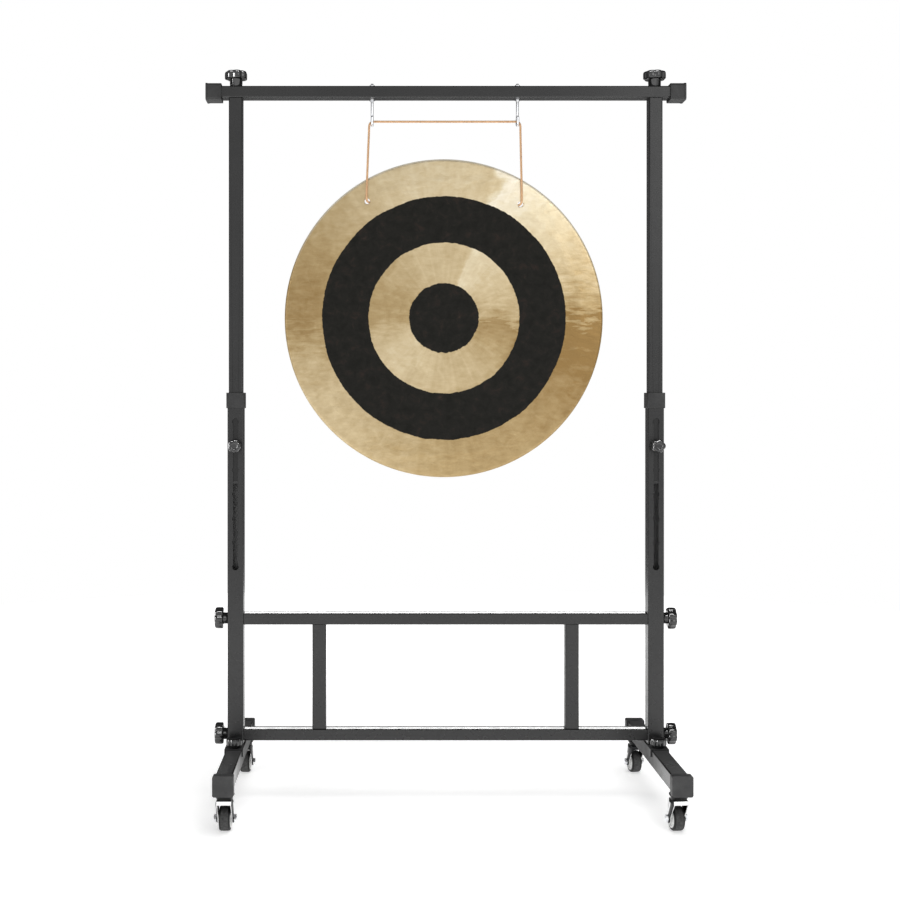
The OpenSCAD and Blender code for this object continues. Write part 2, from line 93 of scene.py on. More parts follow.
class Shader:
    """One material's node tree, with short calls for the nodes that it uses."""

    def __init__(self, name, **sockets):
        self.material = bpy.data.materials.new(name)
        self.material.use_nodes = True
        self.tree = self.material.node_tree
        self.surface = self.tree.nodes["Principled BSDF"]
        for socket, value in sockets.items():
            self.surface.inputs[socket.replace("_", " ")].default_value = value

    def node(self, kind, feeds=None, **settings):
        made = self.tree.nodes.new("ShaderNode" + kind)
        for key, value in settings.items():
            setattr(made, key, value)
        for socket, value in (feeds or {}).items():
            self.feed(made.inputs[socket], value)
        return made

    def feed(self, socket, value):
        if isinstance(value, bpy.types.NodeSocket):
            self.tree.links.new(value, socket)
        else:
            socket.default_value = value

    def place(self):
        """The point on the piece, in metres, which moves with the piece."""
        return self.node("TexCoord").outputs["Object"]

    def scaled(self, place, scale):
        return self.node("Mapping", {"Vector": place, "Scale": scale}).outputs["Vector"]

    def noise(self, place, scale, detail=3.0, roughness=0.5, distortion=0.0):
        feeds = {"Vector": place, "Scale": scale, "Detail": detail, "Roughness": roughness}
        feeds["Distortion"] = distortion
        return self.node("TexNoise", feeds).outputs["Fac"]

    def math(self, operation, first, second=0.0, third=0.0, clamp=False):
        feeds = {0: first, 1: second, 2: third}
        return self.node("Math", feeds, operation=operation, use_clamp=clamp).outputs[0]

    def spread(self, value, low, high, to_low, to_high):
        """Maps low..high to to_low..to_high, and holds the ends."""
        feeds = {"Value": value, "From Min": low, "From Max": high}
        feeds.update({"To Min": to_low, "To Max": to_high})
        return self.node("MapRange", feeds).outputs["Result"]

    def ramp(self, value, stops):
        """A colour ramp; each stop is a position and a linear colour or a grey level."""
        made = self.node("ValToRGB", {"Fac": value})
        band = made.color_ramp
        for i, (position, colour) in enumerate(stops):
            stop = band.elements[i] if i < 2 else band.elements.new(position)
            stop.position = position
            stop.color = colour_of(colour)
        return made.outputs["Color"]

    def mix(self, factor, first, second):
        """The first colour at factor 0 and the second at factor 1."""
        made = self.node("Mix", data_type="RGBA")
        sockets = {socket.identifier: socket for socket in made.inputs}
        for socket, value in (("Factor_Float", factor), ("A_Color", first), ("B_Color", second)):
            self.feed(sockets[socket], value)
        return [socket for socket in made.outputs if socket.identifier == "Result_Color"][0]

    def bump(self, height, distance, strength=1.0, under=None):
        feeds = {"Height": height, "Distance": distance, "Strength": strength}
        if under is not None:
            feeds["Normal"] = under
        return self.node("Bump", feeds).outputs["Normal"]

    def finish(self, colour=None, roughness=None, metallic=None, normal=None):
        feeds = {"Base Color": colour, "Roughness": roughness}
        feeds.update({"Metallic": metallic, "Normal": normal})
        for socket, value in feeds.items():
            if value is not None:
                self.feed(self.surface.inputs[socket], value)
        return self.material


def colour_of(value):
    """A linear RGBA colour from a grey level or a red, green and blue."""
    if isinstance(value, (int, float)):
        return (value, value, value, 1)
    return (*value, 1)


def tone(red, green, blue):
    """A linear colour from display levels of 11 to 255."""
    return tuple(((v / 255 + 0.055) / 1.055) ** 2.4 for v in (red, green, blue))


SHARP_STEP = 0.0002  # how fast a mask goes from 0 to 1, in metres


def inside_tubes(s, place, half, top):
    """1 within half a width of the axes of the two posts, up to a height, and 0 elsewhere."""
    parts = s.node("SeparateXYZ", {"Vector": place})
    across = s.math("ABSOLUTE", s.math("SUBTRACT", s.math("ABSOLUTE", parts.outputs["X"]), POST_X))
    along = s.math("ABSOLUTE", s.math("SUBTRACT", parts.outputs["Y"], POST_Y))
    far = s.math("MAXIMUM", across, along)
    below = s.spread(parts.outputs["Z"], top - 0.001, top, 1, 0)
    return s.math("MULTIPLY", s.spread(far, half - SHARP_STEP, half, 1, 0), below)


def powder_coat(name, dulled=None, within=None, inner=0.0):
    """Charcoal powder coat: fine orange peel, faint drawn streaks and dust.

    dulled gives two places in Y and the roughness added at each; within gives the half width and the
    top of the posts' insides, which take the grey level inner.
    """
    s = Shader(name, Specular_IOR_Level=0.5)
    place = s.place()
    broad = s.noise(place, 7, 4, 0.6)
    peel = s.noise(place, 620, 2, 0.55)
    grain = s.noise(place, 2400, 1)
    streak = s.noise(s.scaled(place, (3, 90, 260)), 1.0, 3, 0.6)
    base = s.ramp(broad, [(0.3, (0.0135, 0.0135, 0.0138)), (0.7, (0.0195, 0.0195, 0.0195))])
    rubbed = s.spread(streak, 0.62, 0.74, 0, 0.35)
    base = s.mix(rubbed, base, colour_of((0.035, 0.035, 0.035)))
    dust = s.spread(grain, 0.7, 0.78, 0, 0.5)
    base = s.mix(dust, base, colour_of((0.06, 0.06, 0.058)))
    rough = s.spread(s.noise(place, 38, 3), 0.3, 0.7, 0.24, 0.3)
    if within:
        base = s.mix(inside_tubes(s, place, *within), base, colour_of(inner))
    if dulled:
        behind = s.node("SeparateXYZ", {"Vector": place}).outputs["Y"]
        rough = s.math("ADD", rough, s.spread(behind, *dulled), clamp=True)
    # The upper corners of the tubes are darkened almost to black: a painted dark reflection.
    rise = s.node("SeparateXYZ", {"Vector": s.node("TexCoord").outputs["Normal"]}).outputs["Z"]
    corner = s.math("MULTIPLY", s.spread(rise, 0.2, 0.4, 0, 1), s.spread(rise, 0.95, 0.99, 1, 0))
    base = s.mix(corner, base, colour_of((0.001, 0.001, 0.001)))
    normal = s.bump(peel, 0.00001, 0.6, under=s.bump(grain, 0.000006, 0.4))
    return s.finish(base, rough, normal=normal)


def matte_plastic():
    """Moulded black plastic with a fine spark-eroded grain and rubbed patches."""
    s = Shader("matte_black_plastic", Specular_IOR_Level=0.45)
    place = s.place()
    grain = s.noise(place, 1700, 2, 0.6)
    rub = s.noise(place, 45, 4, 0.65)
    base = s.ramp(rub, [(0.35, (0.021, 0.021, 0.0215)), (0.68, (0.034, 0.034, 0.034))])
    rough = s.spread(rub, 0.35, 0.7, 0.52, 0.38)
    return s.finish(base, rough, normal=s.bump(grain, 0.00008, 0.7))


def gloss_plastic():
    """Polished black knob plastic with hairline scratches and finger marks."""
    s = Shader("gloss_black_plastic", Specular_IOR_Level=0.6, Coat_Weight=0.35, Coat_Roughness=0.08)
    place = s.place()
    smear = s.noise(place, 60, 4, 0.6, 0.6)
    hair = s.noise(s.scaled(place, (900, 60, 900)), 1.0, 2)
    base = s.ramp(smear, [(0.35, (0.006, 0.006, 0.0065)), (0.7, (0.012, 0.012, 0.012))])
    rough = s.spread(smear, 0.35, 0.7, 0.04, 0.10)
    rough = s.math("ADD", rough, s.spread(hair, 0.6, 0.75, 0, 0.08))
    return s.finish(base, rough, normal=s.bump(hair, 0.000003, 0.4))


def zinc_plate():
    """Bright zinc plate: pale, slightly cloudy, with a faint warm cast."""
    s = Shader("bright_zinc_plate", Metallic=1.0)
    place = s.place()
    cloud = s.noise(place, 140, 4, 0.6, 0.4)
    fine = s.noise(place, 1500, 2)
    tones = [(0.3, (0.74, 0.75, 0.78)), (0.55, (0.90, 0.91, 0.93)), (0.75, (0.90, 0.88, 0.83))]
    base = s.ramp(cloud, tones)
    rough = s.spread(cloud, 0.3, 0.7, 0.2, 0.36)
    return s.finish(base, rough, normal=s.bump(fine, 0.00003, 0.5))


def chrome_plate(name, dark, bright, metallic):
    """Chromed sheet steel with a trace of the rolled surface and painted dark reflections and shade."""
    s = Shader(name, Metallic=metallic, Specular_IOR_Level=0.2)
    coordinates = s.node("TexCoord")
    place = coordinates.outputs["Object"]
    haze = s.noise(place, 90, 4, 0.6)
    rolled = s.noise(s.scaled(place, (300, 300, 40)), 1.0, 3)
    base = s.ramp(haze, [(0.35, dark), (0.7, bright)])
    # Darkened: flanks and undersides as a painted dark reflection, rear forks' tops as painted shade.
    facing = s.node("SeparateXYZ", {"Vector": coordinates.outputs["Normal"]})
    sideways = s.math("ABSOLUTE", facing.outputs["X"])
    slanting = s.spread(sideways, 0.45, 0.6, 0, 1)
    flank = s.math("MULTIPLY", slanting, s.spread(sideways, 0.975, 0.995, 1, 0))
    under = s.spread(facing.outputs["Z"], -0.9, -0.8, 1, 0)
    where = s.node("SeparateXYZ", {"Vector": place})
    behind = s.spread(where.outputs["Y"], 0.10, 0.15, 0, 1)
    rear = s.math("MULTIPLY", behind, s.spread(where.outputs["Z"], 0.046, 0.050, 0, 1))
    painted_shade_and_reflection = s.math("MAXIMUM", s.math("MAXIMUM", flank, under), rear)
    base = s.mix(painted_shade_and_reflection, base, colour_of((0.02, 0.02, 0.021)))
    rough = s.spread(haze, 0.35, 0.75, 0.05, 0.16)
    return s.finish(base, rough, normal=s.bump(rolled, 0.00005, 0.35))


def housing_black():
    """The swivel housing: black e-coated steel, a little greasy."""
    s = Shader("caster_housing_black", Specular_IOR_Level=0.12)
    place = s.place()
    film = s.noise(place, 110, 4, 0.65, 0.5)
    base = s.ramp(film, [(0.35, (0.003, 0.003, 0.003)), (0.7, (0.010, 0.010, 0.010))])
    rough = s.spread(film, 0.35, 0.7, 0.24, 0.46)
    return s.finish(base, rough, normal=s.bump(s.noise(place, 900, 2), 0.00006, 0.5))


def wheel_hub_pale():
    """Pale grey nylon of the wheel centres, a little dusty."""
    s = Shader("wheel_hub_nylon", Specular_IOR_Level=0.5)
    place = s.place()
    flow = s.noise(place, 130, 4, 0.6, 0.8)
    base = s.ramp(flow, [(0.35, (0.86, 0.86, 0.85)), (0.7, (0.95, 0.95, 0.94))])
    rough = s.spread(flow, 0.3, 0.7, 0.22, 0.4)
    return s.finish(base, rough, normal=s.bump(s.noise(place, 1400, 2), 0.00005, 0.5))


def tread_rubber(name, dark, pale, rough_low, rough_high):
    """Wheel rubber: scuffed, with floor dust pressed in."""
    s = Shader(name, Specular_IOR_Level=0.35)
    place = s.place()
    scuff = s.noise(place, 220, 5, 0.7, 0.3)
    dust = s.noise(place, 1300, 2)
    base = s.ramp(scuff, [(0.35, dark), (0.72, pale)])
    base = s.mix(s.spread(dust, 0.62, 0.75, 0, 0.35), base, colour_of((0.11, 0.105, 0.1)))
    rough = s.spread(scuff, 0.3, 0.7, rough_low, rough_high)
    return s.finish(base, rough, normal=s.bump(dust, 0.0001, 0.6))


def cord_fibre():
    """Waxed tan cotton cord: fine fibres in tones from brown to pale, with stained patches."""
    s = Shader("cord_fibre_tan", Specular_IOR_Level=0.3, Sheen_Weight=0.25, Sheen_Roughness=0.5)
    place = s.place()
    fibre = s.noise(s.scaled(place, (2600, 2600, 700)), 1.0, 3, 0.6)
    patch = s.noise(place, 90, 3)
    tones = [(0.28, tone(186, 136, 94)), (0.5, tone(230, 184, 138)), (0.75, tone(250, 216, 176))]
    base = s.ramp(fibre, tones)
    stained = s.spread(patch, 0.5, 0.72, 0, 0.4)
    base = s.mix(stained, base, colour_of(tone(172, 118, 76)))
    return s.finish(base, 0.62, normal=s.bump(fibre, 0.00018, 0.8))


# Gong: the middle of its front, its radius, the radii of the oxide zones and the tones of the bronze.
GONG_CENTRE = (-0.0035, POST_Y - 0.0054, 1.057)
GONG_RADIUS = 0.350
OXIDE_DISC_RADIUS = 0.0765
OXIDE_RING_RADII = (0.1655, 0.2675)
# The tones go from dark to pale and also carry the painted sheen.
BRONZE_TONES = [
    (0.0, tone(150, 121, 76)),
    (0.3, tone(182, 158, 115)),
    (0.6, tone(213, 194, 156)),
    (0.8, tone(230, 216, 184)),
    (1.0, tone(249, 240, 220)),
]
# From these radii and depths on, the corner and the rim are dull rather than polished.
CORNER_BAND = (0.3445, 0.3480)
RIM_FROM = (0.006, 0.008)
# A ramp can't go below 0, so the painted sheen's levels are raised in it and lowered after it.
PAINTED_SHEEN_LIFT = 0.1
# The painted sheen's level at each angle, in turns counted from the left-hand side, anticlockwise.
PAINTED_SHEEN_ROUND_DISC = [
    (0.0, 0.12),
    (0.042, 0.36),
    (0.083, 0.50),
    (0.125, 0.50),
    (0.167, 0.42),
    (0.25, 0.28),
    (0.292, 0.24),
    (0.333, 0.24),
    (0.375, 0.18),
    (0.417, 0.08),
    (0.445, 0.0),
    (0.47, -0.05),
    (0.492, -0.10),
    (0.501, 0.18),
    (0.535, 0.38),
    (0.583, 0.60),
    (0.625, 0.75),
    (0.667, 0.88),
    (0.694, 0.96),
    (0.6965, 0.60),
    (0.75, 0.65),
    (0.80, 0.62),
    (0.833, 0.54),
    (0.875, 0.40),
    (0.917, 0.26),
    (0.958, 0.20),
    (1.0, 0.12),
]


def hammered_bronze():
    """Lathed, hammered bronze, black from the fire in two zones, with painted sheen and rim highlight."""
    s = Shader("hammered_bronze", Specular_IOR_Level=0.1)
    place = s.place()
    centred = s.node("VectorMath", {0: place, 1: GONG_CENTRE}, operation="SUBTRACT").outputs[0]
    parts = s.node("SeparateXYZ", {"Vector": centred})
    across, up = parts.outputs["X"], parts.outputs["Z"]
    flat = s.scaled(centred, (1, 0, 1))
    radius = s.node("VectorMath", {0: flat}, operation="LENGTH").outputs["Value"]
    outward = s.node("VectorMath", {0: flat}, operation="NORMALIZE").outputs[0]

    # The painted sheen follows the angle, broken up by ripples that lie along the hammer rows.
    ripple = s.noise(s.scaled(centred, (22, 0, 95)), 1.0, 4, 0.6, 0.3)
    swirl = s.noise(centred, 9, 3, 0.55)
    turn = s.math("DIVIDE", s.math("ARCTAN2", up, across), math.tau)
    turn = s.math("ADD", turn, 0.5)
    slope = s.math("DIVIDE", up, s.math("ADD", radius, 0.001))
    ripple_share = s.spread(s.math("ABSOLUTE", slope), 0.25, 0.6, 1.0, 0.08)
    wander = s.math("MULTIPLY", s.spread(ripple, 0.2, 0.8, -0.045, 0.045), ripple_share)
    wander = s.math("ADD", wander, s.spread(swirl, 0.2, 0.8, -0.022, 0.022))
    stops = [(at, value + PAINTED_SHEEN_LIFT) for at, value in PAINTED_SHEEN_ROUND_DISC]
    level = s.math("SUBTRACT", s.ramp(s.math("ADD", turn, wander), stops), PAINTED_SHEEN_LIFT)
    # Within the black ring the painted sheen is weaker, and brighter below than above.
    inside = s.spread(radius, 0.15, 0.2, 1.0, 0.0)
    level = s.math("SUBTRACT", level, s.math("MULTIPLY", inside, s.math("MULTIPLY", level, 0.3)))
    below = s.spread(slope, -1.0, 1.0, 0.31, 0.07)
    level = s.math("ADD", level, s.math("MULTIPLY", inside, below))
    rays = s.noise(s.scaled(outward, (16, 16, 16)), 1.0, 3, 0.6)
    clouds = s.noise(s.scaled(centred, (34, 0, 34)), 1.0, 5, 0.62, 0.7)
    hammer = s.noise(s.scaled(centred, (55, 0, 120)), 1.0, 2, 0.5, 0.4)
    turned = s.math("MULTIPLY", s.math("MAXIMUM", radius, 0.012), 700)
    grooves = s.noise(s.node("CombineXYZ", {"X": turned}).outputs[0], 1.0, 2)
    for pattern, amount in ((rays, 0.07), (clouds, 0.13), (hammer, 0.07), (grooves, 0.05)):
        level = s.math("ADD", level, s.spread(pattern, 0.15, 0.85, -amount, amount))
    bronze = s.ramp(level, BRONZE_TONES)

    # Oxide zones with hand-cut edges, on both faces.
    wobble = s.noise(s.scaled(outward, (4, 4, 4)), 1.0, 3, 0.6)
    nick = s.noise(centred, 130, 3, 0.6)
    edge = s.math("ADD", radius, s.spread(wobble, 0.2, 0.8, -0.0022, 0.0022))
    edge = s.math("ADD", edge, s.spread(nick, 0.2, 0.8, -0.0010, 0.0010))
    blend = 0.0006
    inner, outer = OXIDE_RING_RADII
    disc = s.spread(edge, OXIDE_DISC_RADIUS - blend, OXIDE_DISC_RADIUS + blend, 1, 0)
    ring = s.math(
        "MULTIPLY",
        s.spread(edge, inner - blend, inner + blend, 0, 1),
        s.spread(edge, outer - blend, outer + blend, 1, 0),
    )
    black = s.math("MAXIMUM", disc, ring)
    scale = s.noise(centred, 48, 5, 0.65, 0.5)
    tones = [(0.3, tone(24, 24, 21)), (0.55, tone(32, 31, 28))]
    tones += [(0.68, tone(42, 35, 31)), (0.8, tone(54, 48, 43))]
    crust = s.ramp(scale, tones)
    rim = s.spread(parts.outputs["Y"], *RIM_FROM, 0, 1)
    corner = s.math("MAXIMUM", s.spread(radius, *CORNER_BAND, 0, 1), rim)
    colour = s.mix(black, bronze, crust)
    # The upper part of the corner band is lightened to pale bronze: a painted highlight.
    painted_rim_highlight = s.math("MULTIPLY", corner, s.spread(slope, 0.3, 0.8, 0, 0.8))
    colour = s.mix(painted_rim_highlight, colour, colour_of((0.98, 0.92, 0.76)))
    polished = s.spread(clouds, 0.3, 0.7, 0.30, 0.42)
    rough = s.mix(black, polished, s.spread(scale, 0.3, 0.7, 0.62, 0.5))
    metallic = s.math("MINIMUM", s.spread(black, 0, 1, 1, 0), s.math("SUBTRACT", 1.0, corner))
    height = s.math("ADD", s.math("MULTIPLY", grooves, 0.35), s.math("MULTIPLY", hammer, 2.0))
    height = s.math("ADD", height, s.math("MULTIPLY", s.noise(centred, 420, 3), 0.25))
    normal = s.bump(height, 0.00035, 0.6)
    return s.finish(colour, rough, metallic, normal)


WELD_DISTANCE = 0.00002
ROUNDED_OVER = math.radians(38)  # only edges sharper than this are rounded


def finish_nodes(materials):
    """Gives every CAD node its detailed material, welds its facets and rounds its edges."""
    # For each slot of the CAD frame: its material here, and the width of its rounded edges.
    by_slot = {
        "powder_coat": ("powder", 0.0006),
        "matte_black_plastic": ("matte", 0.0008),
        "gloss_black_plastic": ("gloss", 0.0006),
        "zinc_plate": ("zinc", 0.0003),
        "chrome_plate": ("chrome", 0.0004),
        "caster_housing": ("housing", 0.0008),
        "wheel_hub": ("hub", 0.0005),
        "tread_rubber": ("tread", 0.0004),
        "hammered_bronze": ("bronze", 0.0002),
        "cord_fibre": ("cord", 0.0),
    }
    for node in frame["nodes"].values():
        material, edge = by_slot[node.data.materials[0].name.split(".")[0]]
        for special in ("rail", "foot", "lower_post", "upper_post"):
            if special in node.name and material == "powder":
                material = special
        node.data.materials[0] = materials[material]
        weld = node.modifiers.new("weld", "WELD")
        weld.merge_threshold = WELD_DISTANCE
        if edge:
            bevel = node.modifiers.new("edges", "BEVEL")
            bevel.width = edge
            bevel.segments = 2
            bevel.limit_method = "ANGLE"
            bevel.angle_limit = ROUNDED_OVER
            bevel.harden_normals = True


# ---------------------------------------------------------------- mesh helpers


DOUBLED = 0.000001


def close_mesh(mesh):
    """Merges doubled points, fills open ends and turns every face outwards."""
    shape = bmesh.new()
    shape.from_mesh(mesh)
    bmesh.ops.remove_doubles(shape, verts=shape.verts, dist=DOUBLED)
    ends = [edge for edge in shape.edges if edge.is_boundary]
    if ends:
        bmesh.ops.holes_fill(shape, edges=ends, sides=0)
    bmesh.ops.recalc_face_normals(shape, faces=shape.faces)
    shape.to_mesh(mesh)
    shape.free()


def link_mesh(name, points, faces, material, sharp=40, closed=False):
    """A new smooth-shaded object from points and faces; edges over the sharp angle stay crisp."""
    mesh = bpy.data.meshes.new(name)
    mesh.from_pydata([tuple(p) for p in points], [], faces)
    mesh.validate()
    mesh.update()
    if closed:
        close_mesh(mesh)
    mesh.shade_smooth()
    mesh.set_sharp_from_angle(angle=math.radians(sharp))
    mesh.materials.append(material)
    made = bpy.data.objects.new(name, mesh)
    bpy.context.scene.collection.objects.link(made)
    return made


def grid_faces(rows, columns):
    """Quads between rows of points, each row a ring."""
    faces = []
    for r in range(rows - 1):
        near, far = r * columns, (r + 1) * columns
        for c in range(columns):
            after = (c + 1) % columns
            faces.append((near + c, near + after, far + after, far + c))
    return faces


def towards(axis, centre):
    """The matrix that puts +Z along axis at centre."""
    turn = Vector(axis).to_track_quat("Z", "Y").to_matrix().to_4x4()
    return Matrix.Translation(centre) @ turn


# ---------------------------------------------------------------- cord

CORD_DIAMETER = 0.005
CORD_LAY = 0.0125  # how far a strand travels in one turn
CORD_STEP = 0.0011  # between the rings of a strand
ROPE_STRANDS = 3
STRAND_SIDES = 8
# The middle of the cord, in millimetres, with Y measured from the plane of the posts.
CORD_ROUTE_MM = [
    (8.5, 4, 1308), (30, 3, 1307.6), (60, 2, 1307), (100, 1.6, 1306), (140, 1.6, 1305),
    (151.5, 1.6, 1304.7), (160, 0.6, 1305), (164.7, -3.3, 1307.1), (166.9, -6.5, 1312.1),
    (167.5, -7.4, 1318.7), (167.2, -6.2, 1345), (166, -3.1, 1410), (165.1, -0.6, 1466),
    (165, 0, 1479), (163.7, 0, 1484), (160, 0, 1487.7), (155, 0, 1489), (138, 0, 1489),
    (0, 0, 1489),
    (-141, 0, 1489), (-157.5, 0, 1489), (-162.5, 0, 1487.7), (-166.2, 0, 1484), (-167.5, 0, 1479),
    (-168, -0.6, 1466), (-170.2, -3.1, 1413), (-172.5, -6.2, 1351), (-173.4, -7.4, 1325),
    (-173.2, -6.5, 1318.6), (-171.6, -3.3, 1313.6), (-167, 0.6, 1311.5), (-158.5, 1.6, 1311.2),
    (-147, 1.6, 1311), (-107, 1.6, 1310.2), (-67, 2, 1309.2), (-37, 3, 1308.4), (-15.5, 4, 1308),
]
CORD_ROUTE = [Vector(p) / 1000 + Vector((0, POST_Y, 0)) for p in CORD_ROUTE_MM]


def resample(route, step):
    """Points about step apart on a smooth curve through the route."""
    line = []
    for i in range(len(route) - 1):
        before, start = route[max(i - 1, 0)], route[i]
        end, after = route[i + 1], route[min(i + 2, len(route) - 1)]
        span = (end - start).length
        out_slope = (end - before).normalized() * span
        in_slope = (after - start).normalized() * span
        count = max(1, round(span / step))
        for k in range(count):
            t = k / count
            a, b = 2 * t**3 - 3 * t**2 + 1, t**3 - 2 * t**2 + t
            c, d = -2 * t**3 + 3 * t**2, t**3 - t**2
            line.append(start * a + out_slope * b + end * c + in_slope * d)
    return line + [route[-1]]


def carried_frames(line):
    """At each point of a line, its direction and a side vector that turns as little as possible."""
    side = Vector((0, 1, 0))
    frames = []
    for i, point in enumerate(line):
        along = (line[min(i + 1, len(line) - 1)] - line[max(i - 1, 0)]).normalized()
        side = (side - along * side.dot(along)).normalized()
        frames.append((point, along, side))
    return frames


def laid_rope(name, route, diameter, material):
    """Strands twisted together along a smooth route, as one mesh with closed ends."""
    strand_radius = diameter * 0.245
    strand_breadth = strand_radius * 1.45
    orbit = diameter / 2 - strand_radius
    points, faces = [], []
    frames = carried_frames(route)
    sides = STRAND_SIDES
    for s in range(ROPE_STRANDS):
        first = len(points)
        travelled = 0.0
        for i, (point, along, side) in enumerate(frames):
            if i:
                travelled += (point - frames[i - 1][0]).length
            turn = math.tau * (travelled / CORD_LAY + s / ROPE_STRANDS)
            other = along.cross(side)
            out = side * math.cos(turn) + other * math.sin(turn)
            across = along.cross(out)
            for k in range(sides):
                a = math.tau * k / sides
                oval = out * math.cos(a) * strand_radius + across * math.sin(a) * strand_breadth
                points.append(point + out * orbit + oval)
        rings = len(frames)
        faces += [tuple(first + v for v in f) for f in grid_faces(rings, sides)]
        faces.append(tuple(first + k for k in reversed(range(sides))))
        faces.append(tuple(first + (rings - 1) * sides + k for k in range(sides)))
    return link_mesh(name, points, faces, material, sharp=60)


def make_cord(material):
    """The closed loop of cord, and the knot that joins its ends behind the gong."""
    line = resample(CORD_ROUTE, CORD_STEP)
    cord = laid_rope("hanging_cord_rope", line, CORD_DIAMETER, material)
    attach(cord, "gong")
    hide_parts("hanging_cord")
    knot = make_knot(material)


def make_knot(material):
    """A barrel knot: the cord wrapped four times round itself, with two short tails."""
    low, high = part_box("cord_knot")
    middle = (low + high) / 2
    half = (high.x - low.x) / 2
    wrap_radius = (high.z - low.z) / 2 - CORD_DIAMETER / 2
    turns, steps = 4, 96
    wraps = []
    for i in range(steps + 1):
        t = i / steps
        angle = math.tau * turns * t
        x = (t - 0.5) * 2 * (half - CORD_DIAMETER / 2)
        around = Vector((x, math.cos(angle) * wrap_radius, math.sin(angle) * wrap_radius))
        wraps.append(middle + around)
    parts = [laid_rope("cord_knot_wraps", wraps, CORD_DIAMETER, material)]
    core = [Vector((low.x, middle.y, middle.z)), Vector((high.x, middle.y, middle.z))]
    core = resample(core, CORD_STEP)
    parts.append(laid_rope("cord_knot_core", core, CORD_DIAMETER * 0.98, material))
    for sign in (-1, 1):
        start = middle + Vector((sign * (half - 0.004), 0.001, -0.001))
        tail = [
            start,
            start + Vector((sign * 0.004, 0.0025, -0.003)),
            start + Vector((sign * 0.0085, 0.0035, -0.0068)),
            start + Vector((sign * 0.0125, 0.0035, -0.0112)),
        ]
        tail = resample(tail, CORD_STEP)
        parts.append(laid_rope("cord_knot_tail", tail, CORD_DIAMETER * 0.9, material))
    knot = join(parts, "cord_knot_barrel")
    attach(knot, "gong")
    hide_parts("cord_knot")
    return knot


def join(parts, name):
    """Several mesh objects as one."""
    with bpy.context.temp_override(active_object=parts[0], selected_editable_objects=parts):
        bpy.ops.object.join()
    parts[0].name = name
    parts[0].data.name = name
    return parts[0]


# ---------------------------------------------------------------- gong

GONG_THICKNESS = 0.002
GONG_RIM_DEPTH = 0.038
GONG_HOLES = ((-0.168, 0.2563), (0.1678, 0.250))
GONG_HOLE_RADIUS = 0.006
GONG_COLUMNS = 450
HAMMER_DEPTH = 0.00034
FACE_ROWS = 86
BEND_ROWS = 8  # round the corner, and as many down the rim
FACE_EDGE = 0.344  # where the face ends and the corner starts
CORNER_RADIUS = 0.006
CORNER_BACK = 0.009  # where the corner ends and the rim starts, behind the front
RIM_DRAW_IN = 0.004  # how much narrower the dish is at its back


def dish_profile():
    """The front of the dish from the middle outwards: distance from the axis, distance behind the front."""
    rows = []
    for i in range(1, FACE_ROWS + 1):
        r = FACE_EDGE * i / FACE_ROWS
        if r < 0.3:
            fall = 0.001 * max(0.0, (r - 0.15) / 0.15) ** 2
        else:
            fall = 0.001 + 0.002 * (r - 0.3) / (FACE_EDGE - 0.3)
        rows.append((r, fall))
    for i in range(1, BEND_ROWS + 1):
        a = math.radians(90 - i * 90 / BEND_ROWS)
        across, up = CORNER_RADIUS * math.cos(a), CORNER_RADIUS * math.sin(a)
        rows.append((FACE_EDGE + across, CORNER_BACK - up))
    for i in range(1, BEND_ROWS + 1):
        t = i / BEND_ROWS
        rows.append((GONG_RADIUS - RIM_DRAW_IN * t, CORNER_BACK + (GONG_RIM_DEPTH - CORNER_BACK) * t))
    return rows


def hammer_relief(x, z, r):
    """How far hammering has pushed the sheet at a point of the face."""
    rows = noise.noise((x * 30, z * 62, 3.7))
    dents = noise.noise((x * 75, z * 95, 9.1)) * 0.45
    swell = noise.noise((x * 9, z * 9, 1.3)) * 1.2
    fade = min(1.0, max(0.0, (0.346 - r) / 0.012))
    return (rows + dents + swell) * HAMMER_DEPTH * fade


def make_gong(material):
    """The dished and hammered disc with its turned-back rim and two hanging holes."""
    centre_x, front_y, centre_z = GONG_CENTRE
    profile = dish_profile()
    columns = GONG_COLUMNS
    points = [Vector((centre_x, front_y + hammer_relief(0, 0, 0), centre_z))]
    for r, behind in profile:
        for c in range(columns):
            a = math.tau * c / columns
            x, z = r * math.cos(a), r * math.sin(a)
            y = behind + hammer_relief(x, z, r)
            points.append(Vector((centre_x + x, front_y + y, centre_z + z)))
    rings = len(profile)
    faces = [(0, 1 + c, 1 + (c + 1) % columns) for c in range(columns)]
    faces += [tuple(1 + v for v in reversed(f)) for f in grid_faces(rings, columns)]
    disc = link_mesh("gong_bronze", points, faces, material, sharp=50)
    wall = disc.modifiers.new("sheet", "SOLIDIFY")
    wall.thickness = GONG_THICKNESS
    wall.offset = -1
    cutters = [hole_cutter(centre_x + dx, front_y, centre_z + dz) for dx, dz in GONG_HOLES]
    for cutter in cutters:
        cut = disc.modifiers.new("hole", "BOOLEAN")
        cut.operation = "DIFFERENCE"
        cut.solver = "EXACT"
        cut.object = cutter
    bake_modifiers(disc)
    for cutter in cutters:
        bpy.data.objects.remove(cutter)
    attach(disc, "gong")
    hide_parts("gong_disc")


